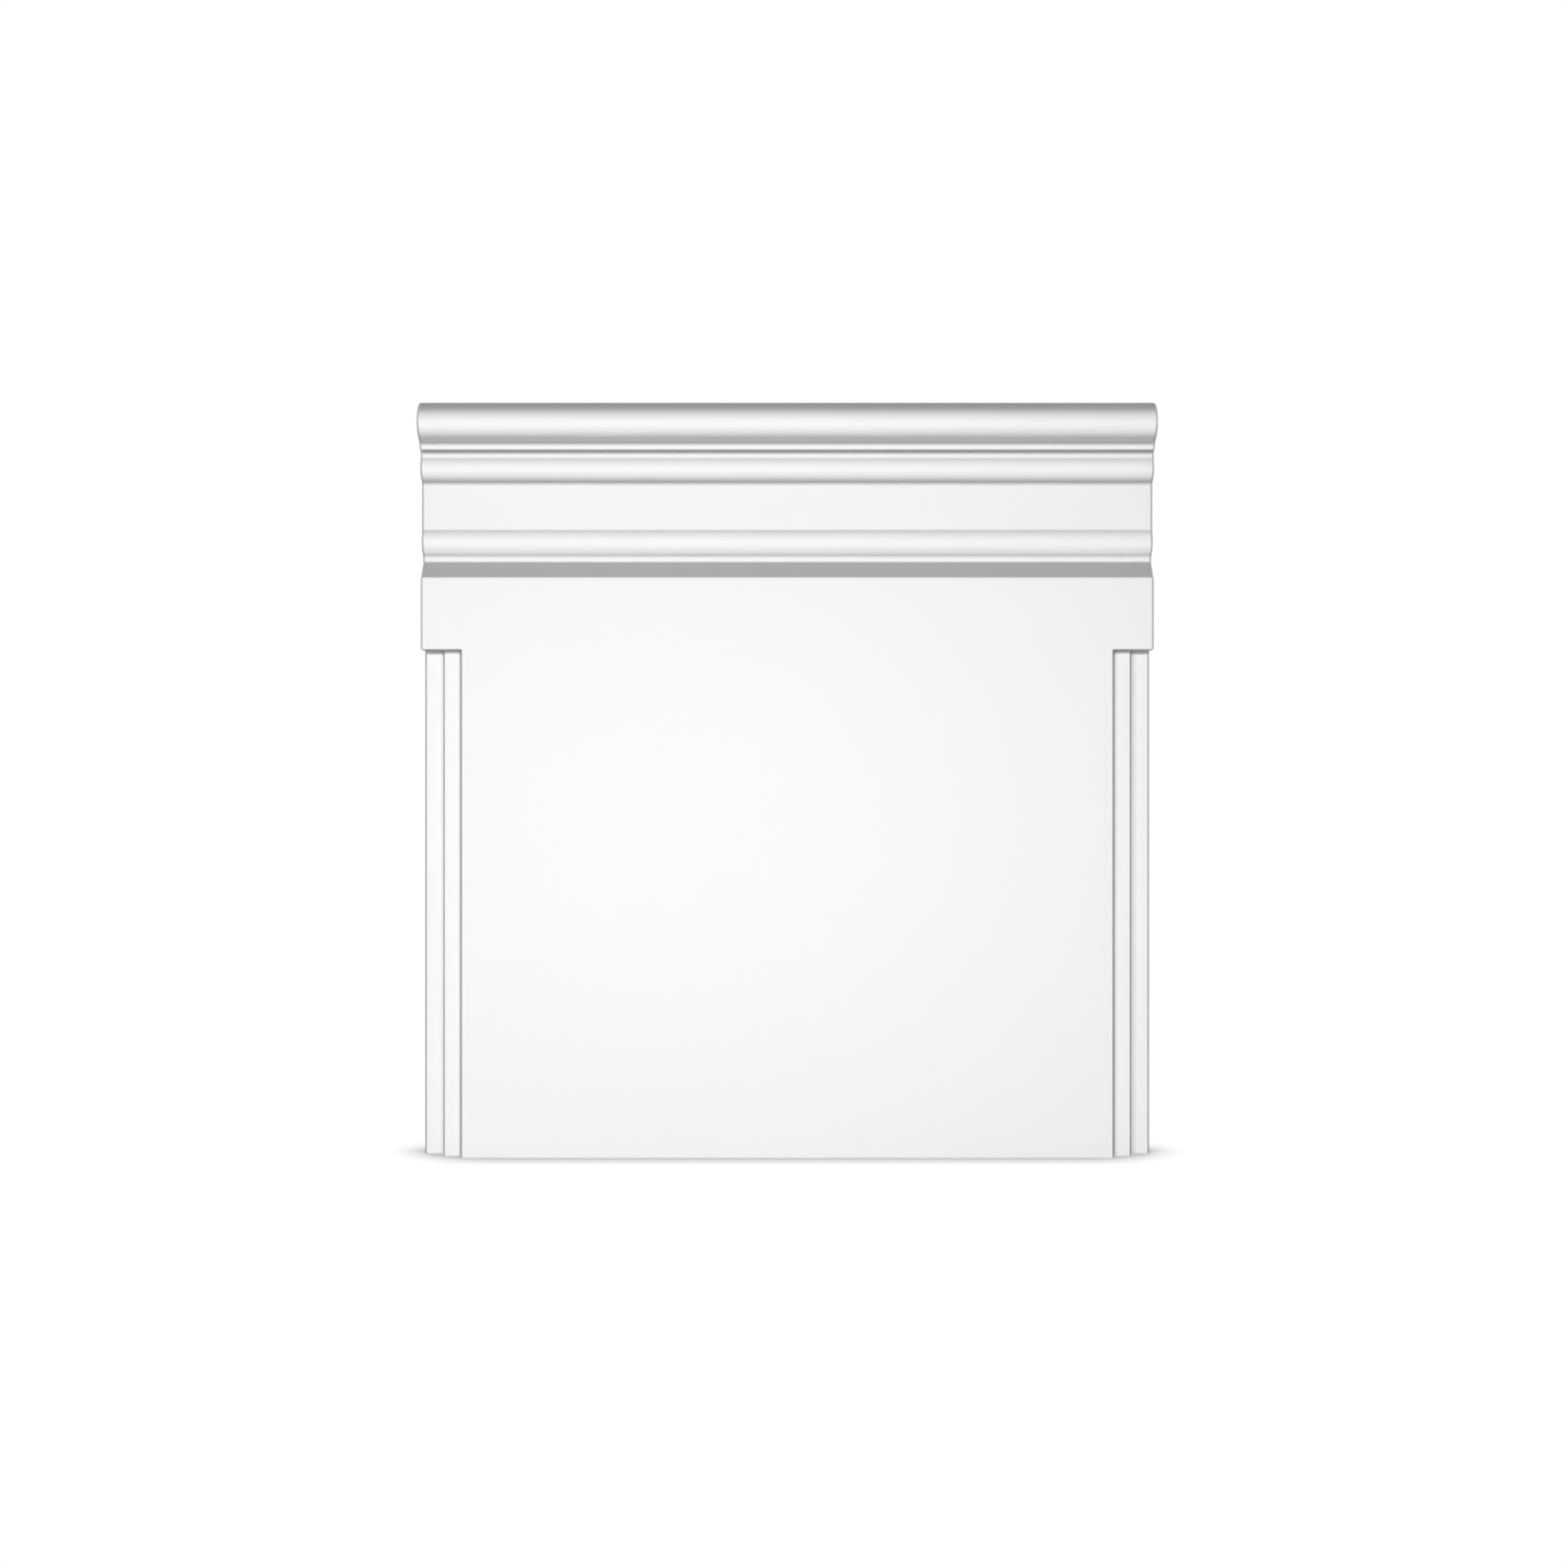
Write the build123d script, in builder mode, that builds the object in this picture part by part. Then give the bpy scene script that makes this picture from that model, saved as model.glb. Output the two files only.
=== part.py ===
from build123d import *
import os
from math import cos, radians, sin, sqrt, tan

# A pilaster base: one moulded block that is fixed flat on a wall, with a stepped plinth
# below and a run of classical mouldings above. Lengths are in millimetres.
# The back lies in the plane Y = 0 and the front looks along -Y.
# The foot stands in the plane Z = 0 and the width is centred on X = 0.

# Overall size
width = 444.5
height = 457.2
band_projection = 36.7  # wall to the face of the band and of the centre panel

# Plinth: a centre panel flush with the band, and two steps back at each side
band_height = 44.0
inner_step_width = 11.5
outer_step_width = 12.95
inner_step_setback = 6.5  # behind the face of the centre panel
outer_step_setback = 9.1  # behind the face of the inner step

# Weathering above the band, and the fillet under the astragal
weathering_rise = 10.2
fillet_setback = 8.5  # behind the face of the band
fillet_height = 3.3

# Astragal, a low bead at the foot of the neck
astragal_projection = 1.4  # forward of the neck
astragal_lower_radius = 12.1
astragal_upper_radius = 13.6

# Neck and the bead above it
neck_setback = 4.8  # behind the face of the band
neck_height = 28.6
bead_projection = 6.3  # forward of the neck
bead_lower_radius = 9.6
bead_upper_radius = 13.0
bead_return = 1.1  # from the nose of the bead back to the strip above it

# Upright strip and listel that carry the torus
strip_height = 4.3
listel_projection = 3.8  # forward of the strip
listel_height = 3.9

# Torus, a half round that ends below in a straight slope
torus_projection = 9.9  # forward of the listel
torus_radius = 12.0
torus_slope_angle = 58.0  # between the slope under the torus and the upright

# Rounded corners of the section
band_edge_radius = 1.8
weathering_cove_radius = 2.8
astragal_foot_radius = 3.3
astragal_top_radius = 1.5
bead_foot_radius = 2.8
bead_top_radius = 0.6
strip_cove_radius = 1.8
listel_edge_radius = 1.5
listel_cove_radius = 1.8

# Soft edges at both ends and round the stepped recesses
edge_radius = 1.5


# Height of an arc that falls back by drop from its foremost point
def arc_rise(radius, drop):
    return sqrt(drop * (2 * radius - drop))


# Projections from the wall
band_face = band_projection
inner_step_face = band_face - inner_step_setback
outer_step_face = inner_step_face - outer_step_setback
fillet_face = band_face - fillet_setback
neck_face = band_face - neck_setback
astragal_nose = neck_face + astragal_projection
bead_nose = neck_face + bead_projection
strip_face = bead_nose - bead_return
listel_face = strip_face + listel_projection
torus_nose = listel_face + torus_projection

# Torus and the slope under it, from the top down
torus_axis = torus_nose - torus_radius
torus_mid = height - torus_radius
slope_angle = radians(torus_slope_angle)
slope_nose = torus_axis + torus_radius * cos(slope_angle)
slope_top = torus_mid - torus_radius * sin(slope_angle)

# Heights above the foot, from the top down
listel_top = slope_top - (slope_nose - listel_face) / tan(slope_angle)
listel_bottom = listel_top - listel_height
bead_top = listel_bottom - strip_height
bead_mid = bead_top - arc_rise(bead_upper_radius, bead_nose - strip_face)
neck_top = bead_mid - arc_rise(bead_lower_radius, bead_nose - neck_face)
neck_bottom = neck_top - neck_height
astragal_mid = neck_bottom - arc_rise(astragal_upper_radius, astragal_nose - neck_face)
fillet_top = astragal_mid - arc_rise(astragal_lower_radius, astragal_nose - fillet_face)
fillet_bottom = fillet_top - fillet_height
band_top = fillet_bottom - weathering_rise
band_bottom = band_top - band_height

# Half widths of the stepped plinth
half_width = width / 2
inner_step_edge = half_width - outer_step_width
panel_edge = inner_step_edge - inner_step_width

# A rounded corner takes no more than its share of the short face beside it
corner_share = 0.48
listel_room = corner_share * min(listel_projection, listel_height)
slope_run = (slope_nose - listel_face) / sin(slope_angle)
slope_room = corner_share * slope_run / tan(slope_angle / 2)
corner_radii = [
    ((band_face, band_top), band_edge_radius),
    ((fillet_face, fillet_bottom), min(weathering_cove_radius, fillet_height)),
    ((fillet_face, fillet_top), min(astragal_foot_radius, fillet_height)),
    ((neck_face, neck_bottom), astragal_top_radius),
    ((neck_face, neck_top), bead_foot_radius),
    ((strip_face, bead_top), bead_top_radius),
    ((strip_face, listel_bottom), min(strip_cove_radius, listel_room)),
    ((listel_face, listel_bottom), min(listel_edge_radius, listel_room)),
    ((listel_face, listel_top), min(listel_cove_radius, slope_room)),
]

# The section is drawn with its first axis out from the wall and its second axis up
section_plane = Plane(origin=(0, 0, 0), x_dir=(0, -1, 0), z_dir=(-1, 0, 0))

with BuildPart() as pilaster_base:
    # The mouldings keep one section across the whole width
    with BuildSketch(section_plane) as section:
        with BuildLine():
            Polyline(
                (0, 0),
                (band_face, 0),
                (band_face, band_top),
                (fillet_face, fillet_bottom),
                (fillet_face, fillet_top),
            )
            RadiusArc((fillet_face, fillet_top), (astragal_nose, astragal_mid), -astragal_lower_radius)
            RadiusArc((astragal_nose, astragal_mid), (neck_face, neck_bottom), -astragal_upper_radius)
            Line((neck_face, neck_bottom), (neck_face, neck_top))
            RadiusArc((neck_face, neck_top), (bead_nose, bead_mid), -bead_lower_radius)
            RadiusArc((bead_nose, bead_mid), (strip_face, bead_top), -bead_upper_radius)
            Polyline(
                (strip_face, bead_top),
                (strip_face, listel_bottom),
                (listel_face, listel_bottom),
                (listel_face, listel_top),
                (slope_nose, slope_top),
            )
            torus = CenterArc(
                (torus_axis, torus_mid), torus_radius, -torus_slope_angle, 90 + torus_slope_angle
            )
            Polyline(torus @ 1, (0, height), (0, 0))
        make_face()
        for corner, corner_radius in corner_radii:
            fillet(section.vertices().sort_by_distance(corner)[0], corner_radius)
    extrude(amount=half_width, both=True)

    # The sides step back twice below the band, and the band stays square above them
    for step_edge, step_face in ((panel_edge, inner_step_face), (inner_step_edge, outer_step_face)):
        with BuildSketch(Plane.XZ.offset(band_face)):
            with Locations((step_edge, 0)):
                Rectangle(half_width - step_edge, band_bottom, align=(Align.MIN, Align.MIN))
            mirror(about=Plane.YZ)
        extrude(amount=step_face - band_face, mode=Mode.SUBTRACT)

    # The mould leaves soft edges at both ends and in the recesses; the back and the foot stay crisp
    moulded_edges = (
        pilaster_base.edges()
        .filter_by_position(Axis.Y, -torus_nose, 0, inclusive=(True, False))
        .filter_by_position(Axis.Z, 0, height, inclusive=(False, True))
    )
    soft_edges = moulded_edges.filter_by(
        lambda edge: abs(edge.center().X) > half_width - edge_radius
        or edge.center().Z < band_bottom + edge_radius
    )
    fillet(soft_edges, edge_radius)

pilaster_base.part.label = "pilaster_base"
os.makedirs("parts", exist_ok=True)
export_step(pilaster_base.part, "parts/pilaster_base.step")
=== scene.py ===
import bpy
import numpy as np
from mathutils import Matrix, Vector


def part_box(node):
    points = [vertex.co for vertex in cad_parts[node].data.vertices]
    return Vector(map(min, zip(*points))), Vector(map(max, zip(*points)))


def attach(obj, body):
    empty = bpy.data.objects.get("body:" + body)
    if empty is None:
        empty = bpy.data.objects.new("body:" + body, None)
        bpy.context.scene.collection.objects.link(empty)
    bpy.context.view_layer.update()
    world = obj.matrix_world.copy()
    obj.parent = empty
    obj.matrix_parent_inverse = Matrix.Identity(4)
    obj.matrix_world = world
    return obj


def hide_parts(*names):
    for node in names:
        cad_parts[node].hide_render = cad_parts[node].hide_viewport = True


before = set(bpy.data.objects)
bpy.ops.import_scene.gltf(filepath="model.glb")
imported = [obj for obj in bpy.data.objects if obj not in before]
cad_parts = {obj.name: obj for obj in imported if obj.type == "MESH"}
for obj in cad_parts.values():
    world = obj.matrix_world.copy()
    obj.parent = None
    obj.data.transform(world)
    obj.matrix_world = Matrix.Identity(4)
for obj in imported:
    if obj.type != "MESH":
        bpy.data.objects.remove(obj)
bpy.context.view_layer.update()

# A pilaster base: one moulded block in factory-primed white, standing on a plain pale floor.
# Lengths are in metres and angles in degrees. The front looks along -Y and the back lies in Y = 0.
cadLow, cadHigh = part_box("pilaster_base")

# Sizes of the block. Its width, its height and the nose of its torus come from the box above.
block = {
    "bandFace": 0.0367,  # wall to the face of the band and of the centre panel
    "bandHeight": 0.0440,
    "innerStepWidth": 0.0115,
    "outerStepWidth": 0.01295,
    "innerStepSetback": 0.0065,  # behind the centre panel
    "outerStepSetback": 0.0091,  # behind the inner step
    "weatheringRise": 0.0102,
    "filletSetback": 0.0085,  # behind the band
    "filletHeight": 0.0033,
    "astragalProud": 0.0014,  # forward of the neck
    "astragalLowerRadius": 0.0121,
    "astragalUpperRadius": 0.0136,
    "neckSetback": 0.0048,  # behind the band
    "neckHeight": 0.0286,
    "beadProud": 0.0063,  # forward of the neck
    "beadLowerRadius": 0.0096,
    "beadUpperRadius": 0.0130,
    "beadReturn": 0.0011,  # from the nose of the bead back to the strip
    "stripHeight": 0.0043,
    "listelProud": 0.0038,  # forward of the strip
    "listelHeight": 0.0039,
    "torusRadius": 0.0120,
    "torusLean": 58.0,  # the slope under the torus looks down by this angle
    "bandEdge": 0.0018,  # rounded corners and hollows of the section, from the foot up
    "weatheringHollow": 0.0015,
    "astragalFootHollow": 0.0018,
    "astragalTopHollow": 0.0015,
    "beadFootHollow": 0.0011,
    "beadTopHollow": 0.0006,
    "stripHollow": 0.0010,
    "listelEdge": 0.0015,
    "listelHollow": 0.0008,
    "softEdge": 0.00145,  # rounding of both ends
    "stepEdge": 0.0009,  # rounding of the edges inside the stepped sides
    "crispEdge": 0.0003,  # rounding of the edges round the back and the foot
    "arcStep": 4.0,  # largest turn between two points of a round
    "edgeSteps": 6,  # faces across a rounded edge
    "nearness": 1e-6,  # a place this close to a face counts as on it
    "cornerDigits": 8,  # decimals by which the corners of two faces are found to be one
}


# Points of one round of the section: centre + radius * (cos a, sin a), where a is the angle that
# the surface looks up by. A hollow has a negative radius, so its points lie behind its centre.
def roundPoints(centreOut, centreUp, radius, startAngle, endAngle):
    steps = int(np.ceil(abs(endAngle - startAngle) / block["arcStep"]))
    angles = np.radians(np.linspace(startAngle, endAngle, steps + 1))
    out, up = radius * np.cos(angles), radius * np.sin(angles)
    return np.column_stack((centreOut + out, centreUp + up))


# Points of a rounded corner between an upright face and one that leans: the circle's centre lies
# a radius behind the upright, and radius * tan(half the lean) below the meeting of the faces
def cornerPoints(face, level, radius, startAngle, endAngle):
    lean = np.radians(startAngle + endAngle)  # the upright face has an angle of 0
    centreUp = level - radius * np.tan(lean / 2)
    return roundPoints(face - radius, centreUp, radius, startAngle, endAngle)


# Points of half a bead and of the hollow where it dies into an upright face: the two circles touch
# at the angle whose cosine is 1 - how far the nose stands proud / (bead radius + hollow radius)
def halfBeadPoints(nose, level, beadRadius, face, hollowRadius, side):
    reach = beadRadius + hollowRadius
    lean = side * np.degrees(np.arccos(1 - (nose - face) / reach))
    hollowLevel = level + reach * np.sin(np.radians(lean))
    bead = roundPoints(nose - beadRadius, level, beadRadius, 0, lean)
    hollow = roundPoints(face + hollowRadius, hollowLevel, -hollowRadius, lean, 0)
    points = np.vstack((bead, hollow))
    return points if side > 0 else points[::-1]


# Height of an arc that falls back by drop from its nose: sqrt(drop * (2 * radius - drop))
def arcRise(radius, drop):
    return np.sqrt(drop * (2 * radius - drop))


# The section from the front face up to the top, as (out from the wall, up) points, and the height
# of the band's lower edge. Every level is worked out from the top down.
def sectionOutline(height, torusNose):
    b = block
    neckFace = b["bandFace"] - b["neckSetback"]
    filletFace = b["bandFace"] - b["filletSetback"]
    astragalNose = neckFace + b["astragalProud"]
    beadNose = neckFace + b["beadProud"]
    stripFace = beadNose - b["beadReturn"]
    listelFace = stripFace + b["listelProud"]

    torusAxis = torusNose - b["torusRadius"]
    torusLevel = height - b["torusRadius"]
    torusLean = np.radians(b["torusLean"])
    slopeTop = torusLevel - b["torusRadius"] * np.sin(torusLean)
    slopeRun = torusAxis + b["torusRadius"] * np.cos(torusLean) - listelFace
    listelTop = slopeTop - slopeRun / np.tan(torusLean)
    listelFoot = listelTop - b["listelHeight"]
    beadLevel = listelFoot - b["stripHeight"] - arcRise(b["beadUpperRadius"], b["beadReturn"])
    neckTop = beadLevel - arcRise(b["beadLowerRadius"], b["beadProud"])
    neckFoot = neckTop - b["neckHeight"]
    astragalLevel = neckFoot - arcRise(b["astragalUpperRadius"], b["astragalProud"])
    filletTop = astragalLevel - arcRise(b["astragalLowerRadius"], astragalNose - filletFace)
    filletFoot = filletTop - b["filletHeight"]
    bandTop = filletFoot - b["weatheringRise"]
    slope = np.degrees(np.arctan2(b["filletSetback"], b["weatheringRise"]))

    outline = np.vstack((
        cornerPoints(b["bandFace"], bandTop, b["bandEdge"], 0, slope),
        cornerPoints(filletFace, filletFoot, -b["weatheringHollow"], slope, 0),
        halfBeadPoints(astragalNose, astragalLevel, b["astragalLowerRadius"],
                       filletFace, b["astragalFootHollow"], -1),
        halfBeadPoints(astragalNose, astragalLevel, b["astragalUpperRadius"],
                       neckFace, b["astragalTopHollow"], 1),
        halfBeadPoints(beadNose, beadLevel, b["beadLowerRadius"],
                       neckFace, b["beadFootHollow"], -1),
        halfBeadPoints(beadNose, beadLevel, b["beadUpperRadius"],
                       stripFace, b["beadTopHollow"], 1),
        cornerPoints(stripFace, listelFoot, -b["stripHollow"], 0, -90),
        cornerPoints(listelFace, listelFoot, b["listelEdge"], -90, 0),
        cornerPoints(listelFace, listelTop, -b["listelHollow"], 0, -b["torusLean"]),
        roundPoints(torusAxis, torusLevel, b["torusRadius"], -b["torusLean"], 90),
    ))
    apart = np.any(np.abs(np.diff(outline, axis=0)) > b["nearness"], axis=1)
    return outline[np.append(True, apart)], bandTop - b["bandHeight"]


# A flat face of the block, or a whole row of them, from the x, y and z of the corners, any of
# which may be one number for all
def facet(x, y, z):
    return np.stack(np.broadcast_arrays(x, y, z), axis=-1).astype(float)


# The faces of the right side's steps, with the panel's edge first: two walls that look outwards,
# two faces that look forwards and the underside of the band over them
def stepFacets(edges, faces, bandFoot):
    upright = np.array([0, 0, bandFoot, bandFoot])
    found = []
    for i in range(2):
        found.append(facet(edges[i], -faces[[i, i + 1, i + 1, i]], upright))
        found.append(facet(edges[[i, i + 1, i + 1, i]], -faces[i + 1], upright))
    stair = np.array([[0, 0], [0, 1], [1, 1], [1, 2], [2, 2], [2, 0]])
    found.append(facet(edges[stair[:, 0]], -faces[stair[:, 1]], bandFoot))
    return found


# The mirror image of a face in X = 0, with its corners in turned order so that it looks outwards
def mirrored(face):
    return (face * np.array([-1, 1, 1]))[::-1]


# The block before its edges are rounded: the section carried from end to end of the width, and the
# flat faces of the front, the steps, the ends, the foot, the back and the top
def blockFacets():
    halfWidth, height, torusNose = cadHigh.x, cadHigh.z, -cadLow.y
    outline, bandFoot = sectionOutline(height, torusNose)
    innerEdge = halfWidth - block["outerStepWidth"]
    edges = np.array([innerEdge - block["innerStepWidth"], innerEdge, halfWidth])
    innerFace = block["bandFace"] - block["innerStepSetback"]
    faces = np.array([block["bandFace"], innerFace, innerFace - block["outerStepSetback"]])

    across = halfWidth * np.array([-1, 1, 1, -1])
    upright = np.array([0, 0, 1, 1])
    ends = np.arange(len(outline) - 1)[:, None] + upright
    strips = list(facet(across, -outline[ends, 0], outline[ends, 1]))
    top = facet(across, -outline[-1, 0] * (1 - upright), height)
    back = facet(-across, 0, height * upright)

    faceTop = outline[0, 1]
    front = facet(
        edges[[0, 0, 0, 2, 2, 2, 2, 0]] * np.array([-1, 1, 1, 1, 1, -1, -1, -1]),
        -block["bandFace"],
        np.array([0, 0, bandFoot, bandFoot, faceTop, faceTop, bandFoot, bandFoot]),
    )
    plan = facet(edges[[0, 0, 1, 1, 2, 2]], -np.append(faces[[0, 1, 1, 2, 2]], 0), 0)
    foot = np.vstack((plan, mirrored(plan)))[::-1]
    end = np.vstack((
        facet(halfWidth, np.zeros(2), np.array([0, height])),
        facet(halfWidth, -outline[::-1, 0], outline[::-1, 1]),
        facet(halfWidth, -faces[[0, 2, 2]], bandFoot * np.array([1, 1, 0])),
    ))
    right = stepFacets(edges, faces, bandFoot) + [end]
    left = [mirrored(side) for side in right]
    return strips + [top, back, front, foot] + right + left, edges, bandFoot


# How far each edge is rounded, as a share of softEdge. The ends get all of it and the edges inside
# the stepped sides get less, those round the back and the foot stay crisp, and the section's own
# edges get none, because its points already follow its rounds.
def edgeWeights(middles, edges, bandFoot):
    near = block["nearness"]
    atEnd = np.abs(middles[:, 0]) > edges[2] - near
    inSteps = (middles[:, 2] < bandFoot + near) & (np.abs(middles[:, 0]) > edges[0] - near)
    atBack = middles[:, 1] > -near
    atFoot = middles[:, 2] < near
    weights = np.where(inSteps, block["stepEdge"] / block["softEdge"], 0.0)
    weights[atEnd] = 1.0
    weights[atBack | atFoot] = block["crispEdge"] / block["softEdge"]
    return weights


# The finished block: its faces share their corners, so that it is closed, and a Bevel rounds it
def buildBlock():
    facets, edges, bandFoot = blockFacets()
    corners = np.round(np.vstack(facets), block["cornerDigits"])
    points, index = np.unique(corners, axis=0, return_inverse=True)
    cuts = np.cumsum([len(face) for face in facets])[:-1]
    mesh = bpy.data.meshes.new("mouldedBase")
    polygons = [part.tolist() for part in np.split(index.ravel(), cuts)]
    mesh.from_pydata(points.tolist(), [], polygons)
    mesh.update()

    ends = np.empty(len(mesh.edges) * 2, np.int32)
    mesh.edges.foreach_get("vertices", ends)
    ends = points[ends.reshape(-1, 2)]
    weights = edgeWeights(ends.mean(axis=1), edges, bandFoot)
    rounding = mesh.attributes.new("bevel_weight_edge", "FLOAT", "EDGE")
    rounding.data.foreach_set("value", weights.astype(np.float32))
    mesh.polygons.foreach_set("use_smooth", np.ones(len(mesh.polygons), bool))
    atBack = np.array([bool(np.all(face[:, 1] == 0)) for face in facets])
    mesh.polygons.foreach_set("material_index", atBack.astype(np.int32))

    piece = bpy.data.objects.new("mouldedBase", mesh)
    bpy.context.scene.collection.objects.link(piece)
    bevel = piece.modifiers.new("roundedEdges", "BEVEL")
    bevel.limit_method = "WEIGHT"
    bevel.width = block["softEdge"]
    bevel.segments = block["edgeSteps"]
    bevel.use_clamp_overlap = False
    bevel.material = 0
    flats = piece.modifiers.new("flatFaces", "WEIGHTED_NORMAL")
    flats.keep_sharp = True
    return piece


# Finish of the primer. The tones are laid over one another in this order, each by its own mask;
# the last three are painted shade.
primer = {
    "light": (0.80, 0.80, 0.797),
    "dark": (0.775, 0.775, 0.772),
    "turnedShadeTone": (0.44, 0.44, 0.44),  # between the flat sides, where the spray lies thin
    "shadeLightDrop": 10.0,  # painted shade on faces turned between the flat sides
    "frontTurn": 0.66,  # no coat from the front where the cosine is below this ...
    "sideTurn": 0.92,  # full painted shade from the front where the cosine is below this ...
    "edgeShadeTone": (0.12, 0.12, 0.12),  # painted shade on the rounded edges of the ends and the steps
    "edgeShadeLeast": 0.7,  # share of that painted shade where the grain stands highest
    "hollowShadeTone": (0.20, 0.20, 0.20),  # where the spray doesn't reach into a corner
    "hollowReach": 0.0024,  # painted shade in the corners, where the block closes in on itself
    "hollowStart": 0.96,  # openness at which a hollow begins to darken ...
    "hollowEnd": 0.80,  # ... and at which it is darkest
    "shine": (0.56, 0.60),  # roughness between the smoothest and the dullest clouds
    "specular": 1.0,
    "cloudSize": 0.09,
    "grainSize": 0.0016,
    "grainDepth": 0.00004,  # of the fine orange peel
}

# The back, which lies against the wall, is a little duller and coarser
backSkin = {
    "light": (0.76, 0.76, 0.75),
    "dark": (0.66, 0.66, 0.65),
    "shine": (0.66, 0.74),
    "specular": 0.5,
    "cloudSize": 0.05,
    "grainSize": 0.003,
    "grainDepth": 0.00008,
}


# A node, placed and named, with its plain values set
def addNode(tree, kind, label, x, y, **values):
    node = tree.nodes.new(kind)
    node.label = label
    node.location = (x, y)
    for name, value in values.items():
        setattr(node, name, value)
    return node


# How much finer detail the noise of the clouds and of the grain carries
sprayDetail = {"cloud": 3.0, "grain": 1.5}


# Sprayed primer as a group: clouds is 0 to 1 over the surface and grain is the height of the
# fine orange peel, both from noise whose scale is 1 / the size of its features
def sprayGroup():
    tree = bpy.data.node_groups.new("sprayedPrimer", "ShaderNodeTree")
    for name in ("cloudSize", "grainSize"):
        size = tree.interface.new_socket(name, in_out="INPUT", socket_type="NodeSocketFloat")
        size.default_value = primer[name]
    for name in ("clouds", "grain"):
        tree.interface.new_socket(name, in_out="OUTPUT", socket_type="NodeSocketFloat")
    given = addNode(tree, "NodeGroupInput", "sizes", -800, 0)
    made = addNode(tree, "NodeGroupOutput", "masks", 400, 0)
    place = addNode(tree, "ShaderNodeTexCoord", "place", -800, 300)
    for name, output, y in (("cloud", "clouds", 200), ("grain", "grain", -200)):
        scale = addNode(tree, "ShaderNodeMath", name + "Scale", -500, y, operation="DIVIDE")
        scale.inputs[0].default_value = 1.0
        noise = addNode(tree, "ShaderNodeTexNoise", name + "Noise", -200, y)
        noise.inputs["Detail"].default_value = sprayDetail[name]
        tree.links.new(given.outputs[name + "Size"], scale.inputs[1])
        tree.links.new(place.outputs["Object"], noise.inputs["Vector"])
        tree.links.new(scale.outputs[0], noise.inputs["Scale"])
        tree.links.new(noise.outputs["Fac"], made.inputs[output])
    return tree


# A finish's clouds shift its tone and its shine a little, and its grain lifts the skin. Gives back
# the tone and the grain, for what lies over them.
def finishNodes(material, group, finish):
    material.use_nodes = True
    tree = material.node_tree
    shader = tree.nodes["Principled BSDF"]
    shader.inputs["Specular IOR Level"].default_value = finish["specular"]
    spray = addNode(tree, "ShaderNodeGroup", "spray", -800, 0, node_tree=group)
    spray.inputs["cloudSize"].default_value = finish["cloudSize"]
    spray.inputs["grainSize"].default_value = finish["grainSize"]
    tone = addNode(tree, "ShaderNodeMix", "tone", -500, 200, data_type="RGBA")
    tone.inputs["A"].default_value = (*finish["dark"], 1)
    tone.inputs["B"].default_value = (*finish["light"], 1)
    shine = addNode(tree, "ShaderNodeMapRange", "shine", -400, -50)
    for name, roughness in zip(("To Min", "To Max"), finish["shine"]):
        shine.inputs[name].default_value = roughness
    skin = addNode(tree, "ShaderNodeBump", "skin", -400, -350)
    skin.inputs["Strength"].default_value = 1.0
    skin.inputs["Distance"].default_value = finish["grainDepth"]
    tree.links.new(spray.outputs["clouds"], tone.inputs["Factor"])
    tree.links.new(spray.outputs["clouds"], shine.inputs["Value"])
    tree.links.new(spray.outputs["grain"], skin.inputs["Height"])
    tree.links.new(shine.outputs["Result"], shader.inputs["Roughness"])
    tree.links.new(skin.outputs["Normal"], shader.inputs["Normal"])
    return tone.outputs["Result"], spray.outputs["grain"]


# One tone laid over another where a mask, from 0 to 1, lets it
def overlay(tree, label, under, over, mask, x, y):
    mix = addNode(tree, "ShaderNodeMix", label, x, y, data_type="RGBA")
    mix.inputs["B"].default_value = (*over, 1)
    tree.links.new(under, mix.inputs["A"])
    tree.links.new(mask, mix.inputs["Factor"])
    return mix.outputs["Result"]


# How much painted shade a place gets, from 0 to 1: 1 less the largest, over a set of directions,
# of a smooth step in the cosine between the surface and the direction. The front, the back, the
# ends and the top have a direction each and straight below has none, so faces turned between
# them and faces that look down get painted shade.
def turnedShadeMask(tree, x, y):
    place = addNode(tree, "ShaderNodeTexCoord", "place", x, y)
    drop = np.radians(primer["shadeLightDrop"])
    front = (0, -np.cos(drop), -np.sin(drop))
    directions = (front, (0, 1, 0), (1, 0, 0), (-1, 0, 0), (0, 0, 1))
    mostLit = None
    for row, direction in enumerate(directions):
        level = y - 300 * row
        towards = addNode(tree, "ShaderNodeVectorMath", "towards", x + 200, level,
                          operation="DOT_PRODUCT")
        towards.inputs[1].default_value = direction
        litShare = addNode(tree, "ShaderNodeMapRange", "litShare", x + 400, level,
                       interpolation_type="SMOOTHSTEP")
        litShare.inputs["From Min"].default_value = primer["frontTurn" if row == 0 else "sideTurn"]
        tree.links.new(place.outputs["Normal"], towards.inputs[0])
        tree.links.new(towards.outputs["Value"], litShare.inputs["Value"])
        made = litShare.outputs["Result"]
        if mostLit:
            larger = addNode(tree, "ShaderNodeMath", "mostLit", x + 600, level,
                             operation="MAXIMUM")
            tree.links.new(mostLit, larger.inputs[0])
            tree.links.new(made, larger.inputs[1])
            made = larger.outputs[0]
        mostLit = made
    turnedShading = addNode(tree, "ShaderNodeMath", "turnedShading", x + 800, y, operation="SUBTRACT")
    turnedShading.inputs[0].default_value = 1.0
    tree.links.new(mostLit, turnedShading.inputs[1])
    return turnedShading.outputs[0]


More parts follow.
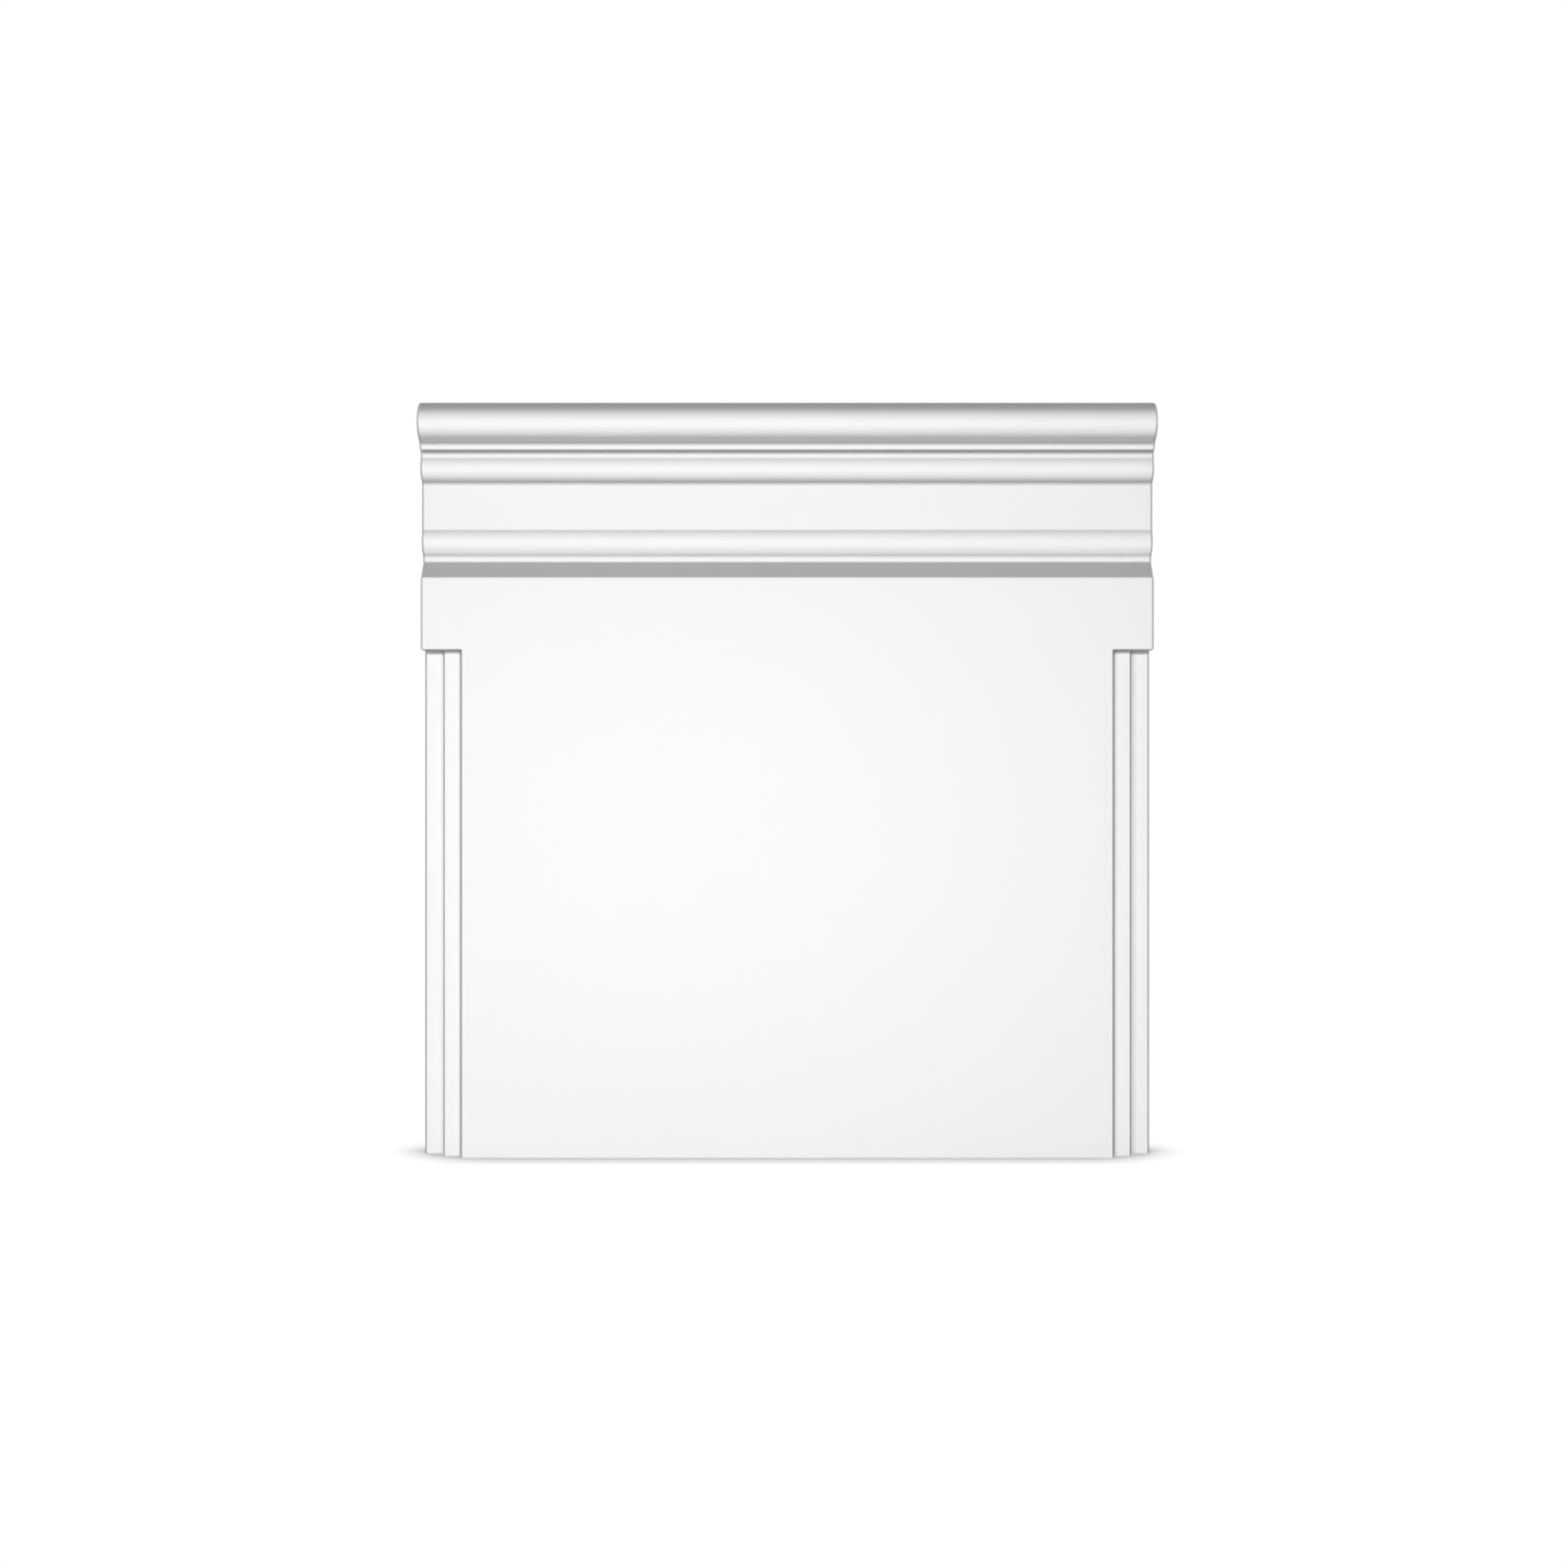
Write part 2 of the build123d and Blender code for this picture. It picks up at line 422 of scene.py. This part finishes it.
# How nearly halfway round a rounded edge a place lies: n (1 - n), with n the square of one part of
# the normal, which is 1/4 halfway and 0 on the flat faces beside the edge
def halfwayRound(tree, part, x, y):
    square = addNode(tree, "ShaderNodeMath", "square", x, y, operation="MULTIPLY")
    rest = addNode(tree, "ShaderNodeMath", "rest", x + 200, y, operation="SUBTRACT")
    rest.inputs[0].default_value = 1.0
    halfway = addNode(tree, "ShaderNodeMath", "halfway", x + 400, y, operation="MULTIPLY")
    tree.links.new(part, square.inputs[0])
    tree.links.new(part, square.inputs[1])
    tree.links.new(square.outputs[0], rest.inputs[1])
    tree.links.new(square.outputs[0], halfway.inputs[0])
    tree.links.new(rest.outputs[0], halfway.inputs[1])
    return halfway.outputs[0]


# Painted shade, from 0 to 1, on the rounded ends, the steps' upright edges and the band's lower
# edge: 4 times the larger of halfwayRound by the normal's part along the width and, at the height
# of the band's lower edge, by its upright part. Grain makes it uneven.
def edgeShadeMask(tree, grain, x, y):
    full = 4.0  # brings the largest of halfwayRound up to 1
    bandFoot = sectionOutline(cadHigh.z, -cadLow.y)[1]
    place = addNode(tree, "ShaderNodeTexCoord", "place", x, y)
    turned = addNode(tree, "ShaderNodeSeparateXYZ", "turned", x + 200, y)
    level = addNode(tree, "ShaderNodeSeparateXYZ", "level", x + 200, y - 500)
    rim = addNode(tree, "ShaderNodeMath", "rim", x + 400, y - 500, operation="COMPARE")
    rim.inputs[1].default_value = bandFoot + block["stepEdge"] / 2
    rim.inputs[2].default_value = block["stepEdge"] / 2
    lower = addNode(tree, "ShaderNodeMath", "lowerEdge", x + 1000, y - 400, operation="MULTIPLY")
    either = addNode(tree, "ShaderNodeMath", "either", x + 1200, y - 200, operation="MAXIMUM")
    edgeShadeAmount = addNode(tree, "ShaderNodeMath", "edgeShadeAmount", x + 1400, y, operation="MULTIPLY")
    uneven = addNode(tree, "ShaderNodeMapRange", "uneven", x + 1200, y - 500)
    uneven.inputs["To Min"].default_value = full
    uneven.inputs["To Max"].default_value = full * primer["edgeShadeLeast"]
    tree.links.new(place.outputs["Normal"], turned.inputs[0])
    tree.links.new(place.outputs["Object"], level.inputs[0])
    tree.links.new(level.outputs["Z"], rim.inputs[0])
    tree.links.new(halfwayRound(tree, turned.outputs["Z"], x + 400, y - 250), lower.inputs[0])
    tree.links.new(rim.outputs[0], lower.inputs[1])
    tree.links.new(halfwayRound(tree, turned.outputs["X"], x + 400, y), either.inputs[0])
    tree.links.new(lower.outputs[0], either.inputs[1])
    tree.links.new(grain, uneven.inputs["Value"])
    tree.links.new(either.outputs[0], edgeShadeAmount.inputs[0])
    tree.links.new(uneven.outputs["Result"], edgeShadeAmount.inputs[1])
    return edgeShadeAmount.outputs[0]


# How deep a place lies in a hollow, from 0 to 1, by how much of its surroundings the block itself
# closes off. It sets where shade is painted into the hollows.
def hollowShadeMask(tree, x, y):
    around = addNode(tree, "ShaderNodeAmbientOcclusion", "around", x, y, only_local=True)
    around.inputs["Distance"].default_value = primer["hollowReach"]
    depth = addNode(tree, "ShaderNodeMapRange", "depth", x + 200, y)
    depth.inputs["From Min"].default_value = primer["hollowStart"]
    depth.inputs["From Max"].default_value = primer["hollowEnd"]
    tree.links.new(around.outputs["AO"], depth.inputs["Value"])
    return depth.outputs["Result"]


# White primer, with shade painted on the faces turned between the flat sides, on the rounded edges
# and in the hollows
def primedWhite(group):
    material = bpy.data.materials.new("primedWhite")
    tone, grain = finishNodes(material, group, primer)
    tree = material.node_tree
    turnedShading, edgeShading = turnedShadeMask(tree, -1600, 1200), edgeShadeMask(tree, grain, -1600, 1700)
    hollow = hollowShadeMask(tree, -600, 900)
    tone = overlay(tree, "paintedTurnedShade", tone, primer["turnedShadeTone"], turnedShading, -350, 400)
    tone = overlay(tree, "paintedEdgeShade", tone, primer["edgeShadeTone"], edgeShading, -250, 600)
    tone = overlay(tree, "paintedHollowShade", tone, primer["hollowShadeTone"], hollow, -150, 800)
    tree.links.new(tone, tree.nodes["Principled BSDF"].inputs["Base Color"])
    return material


# The plain finish of the back
def dullWhite(group):
    material = bpy.data.materials.new("dullWhite")
    tone = finishNodes(material, group, backSkin)[0]
    tree = material.node_tree
    tree.links.new(tone, tree.nodes["Principled BSDF"].inputs["Base Color"])
    return material


# The studio: what lights the block, and the pale floor and surroundings
studio = {
    "keyPlace": (-0.12, -1.5, 0.18),
    "keyWidth": 1.2,
    "keyHeight": 0.34,
    "keyPower": 22.2,
    "rearDistance": 2.2,
    "rearTurn": 126.0,  # degrees round from the front, on both sides
    "rearRise": 25.0,
    "rearSize": 1.2,
    "rearPower": 31.0,
    "ambient": 0.03,  # light from all round that reaches matt surfaces
    "floorBounce": 0.25,  # share of the lamps' light that the floor throws back
    "floorSize": 30.0,
    "contactReach": 0.024,  # the painted contact shadow reaches this far from the block ...
    "contactDepth": 0.46,  # ... and darkens the floor by this share where they meet
    "contactOpen": 0.5,  # openness where they meet: an upright face shuts off half of the sky
}


# A lamp with a flat oblong face at a place, turned so that it looks at the middle of the block
def addLamp(name, place, width, height, power):
    lamp = bpy.data.lights.new(name, "AREA")
    lamp.shape = "RECTANGLE"
    lamp.size, lamp.size_y = width, height
    lamp.energy = power
    holder = bpy.data.objects.new(name, lamp)
    bpy.context.scene.collection.objects.link(holder)
    holder.location = place
    aim = (cadLow + cadHigh) / 2 - Vector(place)
    holder.rotation_euler = aim.to_track_quat("-Z", "Y").to_euler()
    holder.visible_camera = False
    return holder


# A place round the block: distance from its middle along (sin t cos r, -cos t cos r, sin r), with
# t the turn from the front and r the rise
def aroundBlock(turn, rise, distance):
    turn, rise = np.radians(turn), np.radians(rise)
    middle = (cadLow + cadHigh) / 2
    step = Vector((np.sin(turn) * np.cos(rise), -np.cos(turn) * np.cos(rise), np.sin(rise)))
    return middle + distance * step


# A value of 1 for rays that show the surroundings as they look: from the camera, in gloss and in
# glass
def plainSightNodes(tree, x, y):
    path = addNode(tree, "ShaderNodeLightPath", "rays", x, y)
    either = addNode(tree, "ShaderNodeMath", "cameraOrGloss", x + 250, y, operation="MAXIMUM")
    seen = addNode(tree, "ShaderNodeMath", "orGlass", x + 450, y, operation="MAXIMUM")
    tree.links.new(path.outputs["Is Camera Ray"], either.inputs[0])
    tree.links.new(path.outputs["Is Glossy Ray"], either.inputs[1])
    tree.links.new(either.outputs[0], seen.inputs[0])
    tree.links.new(path.outputs["Is Transmission Ray"], seen.inputs[1])
    return seen.outputs[0]


# White surroundings to the eye, and a dim even light to everything else
def buildWorld():
    world = bpy.data.worlds.new("studioWorld")
    bpy.context.scene.world = world
    world.use_nodes = True
    tree = world.node_tree
    background = tree.nodes["Background"]
    strength = addNode(tree, "ShaderNodeMapRange", "strength", -250, -100)
    strength.inputs["To Min"].default_value = studio["ambient"]
    strength.inputs["To Max"].default_value = 1.0
    background.inputs["Color"].default_value = (1, 1, 1, 1)
    tree.links.new(plainSightNodes(tree, -900, 0), strength.inputs["Value"])
    tree.links.new(strength.outputs["Result"], background.inputs["Strength"])


# The floor is white to the eye, with a painted shadow where the block stands close over it, and
# matt to the lamps. It is clear from below, so that the foot can be looked at.
def floorMaterial():
    material = bpy.data.materials.new("paleFloor")
    material.use_nodes = True
    tree = material.node_tree
    tree.nodes.remove(tree.nodes["Principled BSDF"])
    matt = addNode(tree, "ShaderNodeBsdfDiffuse", "matt", -400, -100)
    matt.inputs["Color"].default_value = (*(studio["floorBounce"],) * 3, 1)
    openness = addNode(tree, "ShaderNodeAmbientOcclusion", "openness", -800, 300)
    openness.inputs["Distance"].default_value = studio["contactReach"]
    shade = addNode(tree, "ShaderNodeMapRange", "shade", -600, 300)
    shade.inputs["From Min"].default_value = studio["contactOpen"]
    shade.inputs["To Min"].default_value = 1 - studio["contactDepth"]
    shade.inputs["To Max"].default_value = 1.0
    white = addNode(tree, "ShaderNodeEmission", "white", -400, 200)
    eye = addNode(tree, "ShaderNodeMixShader", "eye", -150, 0)
    clear = addNode(tree, "ShaderNodeBsdfTransparent", "clear", -150, -200)
    side = addNode(tree, "ShaderNodeNewGeometry", "side", -150, 300)
    below = addNode(tree, "ShaderNodeMixShader", "below", 100, 0)
    tree.links.new(openness.outputs["AO"], shade.inputs["Value"])
    tree.links.new(shade.outputs["Result"], white.inputs["Strength"])
    tree.links.new(plainSightNodes(tree, -1100, 0), eye.inputs[0])
    tree.links.new(matt.outputs[0], eye.inputs[1])
    tree.links.new(white.outputs[0], eye.inputs[2])
    tree.links.new(side.outputs["Backfacing"], below.inputs[0])
    tree.links.new(eye.outputs[0], below.inputs[1])
    tree.links.new(clear.outputs[0], below.inputs[2])
    tree.links.new(below.outputs[0], tree.nodes["Material Output"].inputs["Surface"])
    return material


# The floor, the key lamp near the front and a lamp on each side behind the block
def buildStudio():
    half = studio["floorSize"] / 2
    corners = [(-half, -half, 0), (half, -half, 0), (half, half, 0), (-half, half, 0)]
    mesh = bpy.data.meshes.new("floor")
    mesh.from_pydata(corners, [], [(0, 1, 2, 3)])
    mesh.materials.append(floorMaterial())
    floor = bpy.data.objects.new("floor", mesh)
    bpy.context.scene.collection.objects.link(floor)
    s = studio
    addLamp("keyLamp", s["keyPlace"], s["keyWidth"], s["keyHeight"], s["keyPower"])
    for name, side in (("rearLampLeft", -1), ("rearLampRight", 1)):
        place = aroundBlock(side * s["rearTurn"], s["rearRise"], s["rearDistance"])
        addLamp(name, place, s["rearSize"], s["rearSize"], s["rearPower"])
    buildWorld()


# The camera stands level, a little above the middle of the plinth, and looks along +Y
view = {
    "place": (-0.00196, -1.2629, 0.2268),
    "lens": 46.46,  # millimetres, as the sensor's width is
    "sensor": 36.0,
}


def buildCamera():
    lens = bpy.data.cameras.new("camera")
    lens.sensor_width = view["sensor"]
    lens.lens = view["lens"]
    camera = bpy.data.objects.new("camera", lens)
    bpy.context.scene.collection.objects.link(camera)
    camera.location = view["place"]
    camera.rotation_euler = (np.radians(90), 0, 0)
    bpy.context.scene.camera = camera


buildCamera()
print("camera placed")

mouldedBase = buildBlock()
spray = sprayGroup()
mouldedBase.data.materials.append(primedWhite(spray))
mouldedBase.data.materials.append(dullWhite(spray))
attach(mouldedBase, "root")
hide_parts("pilaster_base")
print("block built")

buildStudio()
bpy.context.scene.view_settings.view_transform = "Standard"
print("studio lit")
